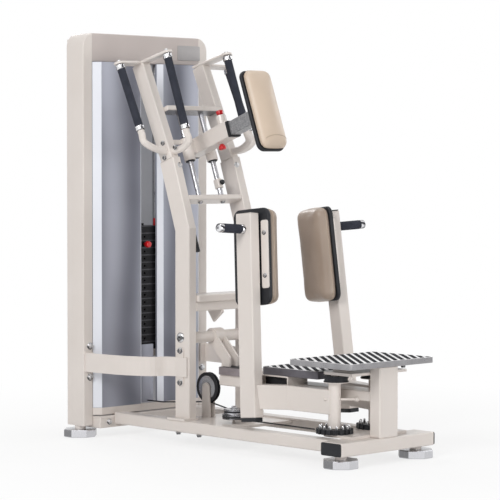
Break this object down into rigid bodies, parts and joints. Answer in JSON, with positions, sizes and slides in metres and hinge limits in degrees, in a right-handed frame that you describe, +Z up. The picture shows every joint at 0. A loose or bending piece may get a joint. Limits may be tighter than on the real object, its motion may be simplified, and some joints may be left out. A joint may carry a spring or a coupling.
{
  "type": "standing hip abductor machine",
  "caption": "Standing hip abductor: weight tower, low T-shaped base with a tread, two padded swing arms, four grips and a sliding chest pad.",
  "frame": {"origin": "middle of the machine's box in plan, on the floor", "axes": "+Z up; the user stands at -Y on the tread and faces the weight tower at +Y; +X is the user's right"},
  "size_m": [0.7908, 1.4682, 1.6],
  "materials": {
    "cream_paint": "smooth cream powder coat",
    "silver_panel": "satin silver-grey panel",
    "aluminium": "cast aluminium, satin",
    "chrome": "polished chrome",
    "black_plastic": "moulded black plastic",
    "black_rubber": "black rubber",
    "black_iron": "black coated iron",
    "tan_leather": "tan upholstery leather",
    "red_plastic": "glossy red plastic"
  },
  "bodies": {
    "frame": {"base_beam_left": "cream_paint", "base_beam_right": "cream_paint", "cross_box": "cream_paint", "drive_cable": "black_plastic", "front_crossbar": "cream_paint", "front_foot_left": "aluminium", "front_foot_right": "aluminium", "front_grip_left": "black_plastic", "front_grip_right": "black_plastic", "front_post": "cream_paint", "guard_bar_left": "cream_paint", "guard_bar_right": "cream_paint", "handle_frame_left": "cream_paint", "handle_frame_right": "cream_paint", "mid_plate": "cream_paint", "outer_grip_left": "black_plastic", "outer_grip_right": "black_plastic", "pad_rails": "chrome", "platform": "black_rubber", "rear_cover": "cream_paint", "rear_tread": "black_rubber", "resting_plates": "black_iron", "shield_left": "silver_panel", "shield_right": "silver_panel", "spine_beam": "cream_paint", "stack_frame": "chrome", "strut_cylinder": "black_plastic", "tower_column_left": "cream_paint", "tower_column_right": "cream_paint", "tower_foot_left": "aluminium", "tower_foot_rails": "cream_paint", "tower_foot_right": "aluminium", "tower_header": "cream_paint", "upright_left": "cream_paint", "upright_right": "cream_paint"},
    "left_arm": {"arm_beam_left": "cream_paint", "arm_post_left": "cream_paint", "arm_disc_left": "black_plastic", "leg_pad_base_left": "black_plastic", "stub_handle_left": "black_plastic", "leg_cushion_left": "tan_leather"},
    "right_arm": {"arm_beam_right": "cream_paint", "arm_post_right": "cream_paint", "arm_disc_right": "black_plastic", "leg_pad_base_right": "black_plastic", "stub_handle_right": "black_plastic", "leg_cushion_right": "tan_leather"},
    "lifted_weight": {"lifted_plates": "black_iron", "lift_cable": "black_plastic"},
    "selector_pin": {"selector_pin": "red_plastic"},
    "carriage": {"carriage": "cream_paint", "strut_rod": "chrome"},
    "pad_arm": {"pad_slide_tube": "chrome", "chest_pad_base": "black_plastic", "chest_cushion": "tan_leather"},
    "arm_lock_knob": {"arm_lock_knob": "red_plastic"},
    "rail_lock_knob": {"rail_lock_knob": "red_plastic"},
    "large_pulley": {"large_pulley": "black_plastic"},
    "low_pulley": {"low_pulley": "black_plastic"},
    "top_pulley": {"top_pulley": "black_plastic"}
  },
  "joints": [
    {"name": "left_arm_swing", "type": "hinge", "parent": "frame", "child": "left_arm", "pos_m": [-0.12935, -0.54715, 0.2], "axis": [0, 0, 1], "range_deg": [0, 35]},
    {"name": "right_arm_swing", "type": "hinge", "parent": "frame", "child": "right_arm", "pos_m": [0.08665, -0.54715, 0.2], "axis": [0, 0, 1], "range_deg": [-35, 0]},
    {"name": "weight_lift", "type": "slide", "parent": "frame", "child": "lifted_weight", "axis": [0, 0, 1], "range_m": [0, 0.2148], "deforming": ["lift_cable"]},
    {"name": "selector_pin_pull", "type": "slide", "parent": "lifted_weight", "child": "selector_pin", "axis": [0, -1, 0], "range_m": [0, 0.06]},
    {"name": "carriage_slide", "type": "slide", "parent": "frame", "child": "carriage", "axis": [0, 0.342, 0.9397], "range_m": [-0.07, 0.06]},
    {"name": "pad_arm_slide", "type": "slide", "parent": "carriage", "child": "pad_arm", "axis": [0, -0.9397, 0.342], "range_m": [-0.06, 0.06]},
    {"name": "arm_lock_pull", "type": "slide", "parent": "carriage", "child": "arm_lock_knob", "axis": [0, 0.342, 0.9397], "range_m": [0, 0.01], "stiffness_N_per_m": 800, "springref_m": -0.002},
    {"name": "rail_lock_pull", "type": "slide", "parent": "carriage", "child": "rail_lock_knob", "axis": [0, -0.342, -0.9397], "range_m": [0, 0.01], "stiffness_N_per_m": 800, "springref_m": -0.002},
    {"name": "large_pulley_spin", "type": "hinge", "parent": "frame", "child": "large_pulley", "pos_m": [-0.02135, 0.24085, 0.204], "axis": [1, 0, 0], "range_deg": [-5, 260]},
    {"name": "low_pulley_spin", "type": "hinge", "parent": "frame", "child": "low_pulley", "pos_m": [-0.09135, 0.02285, 0.113], "axis": [0, 0, 1], "range_deg": [-360, 5]},
    {"name": "top_pulley_spin", "type": "hinge", "parent": "frame", "child": "top_pulley", "pos_m": [-0.02135, 0.68585, 1.39], "axis": [1, 0, 0], "range_deg": [-5, 480]}
  ],
  "couplings": [
    {"joint": "right_arm_swing", "follows": "left_arm_swing", "ratio": -1},
    {"joint": "weight_lift", "follows": "left_arm_swing", "m_per_rad": 0.35},
    {"joint": "large_pulley_spin", "follows": "left_arm_swing", "ratio": 6.0345},
    {"joint": "low_pulley_spin", "follows": "left_arm_swing", "ratio": -8.1395},
    {"joint": "top_pulley_spin", "follows": "left_arm_swing", "ratio": 12.5}
  ]
}
